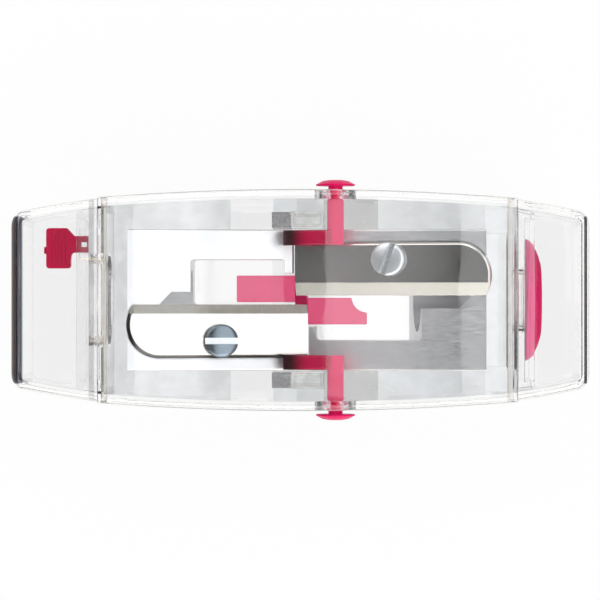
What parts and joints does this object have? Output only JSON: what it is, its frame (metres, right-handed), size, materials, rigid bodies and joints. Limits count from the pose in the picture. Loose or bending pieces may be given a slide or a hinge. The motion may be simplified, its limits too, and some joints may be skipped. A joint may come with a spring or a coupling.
{
  "type": "pencil sharpener",
  "caption": "Clear barrel-shaped container sharpener for wide and slim pencils, with metal wedge blocks back to back, bladed and screwed, pull-off end caps and sprung side buttons.",
  "frame": {"origin": "middle of the back face that it lies on, under the middle of the overall box", "axes": "+X along the barrel towards the slim-pencil end, +Y across towards the upper button, +Z out of the front face"},
  "size_m": [0.0756, 0.0318, 0.022],
  "materials": {
    "clear_polystyrene": "polished, clear",
    "pink_polypropylene": "moulded, satin",
    "magnesium": "milled, satin",
    "blade_steel": "ground and polished",
    "screw_steel": "zinc plated"
  },
  "bodies": {
    "case": {"case_body": "clear_polystyrene", "insert_frame": "clear_polystyrene", "core": "pink_polypropylene", "upper_spring_arm": "pink_polypropylene", "lower_spring_arm": "pink_polypropylene", "guide_ring": "pink_polypropylene", "left_block": "magnesium", "right_block": "magnesium", "left_blade": "blade_steel", "right_blade": "blade_steel", "left_screw": "screw_steel", "right_screw": "screw_steel"},
    "left_cap": {"left_cap": "clear_polystyrene"},
    "right_cap": {"right_cap": "clear_polystyrene"},
    "cleaning_tool": {"cleaning_tool": "pink_polypropylene"},
    "upper_button": {"upper_button": "pink_polypropylene"},
    "lower_button": {"lower_button": "pink_polypropylene"}
  },
  "joints": [
    {"name": "left_cap_pull", "type": "slide", "parent": "case", "child": "left_cap", "axis": [-1, 0, 0], "range_m": [0, 0.04]},
    {"name": "right_cap_pull", "type": "slide", "parent": "case", "child": "right_cap", "axis": [1, 0, 0], "range_m": [0, 0.04]},
    {"name": "tool_pull", "type": "slide", "parent": "case", "child": "cleaning_tool", "axis": [-1, 0, 0], "range_m": [0, 0.02]},
    {"name": "upper_button_press", "type": "slide", "parent": "case", "child": "upper_button", "axis": [0, -1, 0], "range_m": [0, 0.0027], "stiffness_N_per_m": 1200},
    {"name": "lower_button_press", "type": "slide", "parent": "case", "child": "lower_button", "axis": [0, 1, 0], "range_m": [0, 0.0027], "stiffness_N_per_m": 1200}
  ],
  "couplings": [
    {"joint": "tool_pull", "follows": "left_cap_pull", "ratio": 0.5}
  ]
}
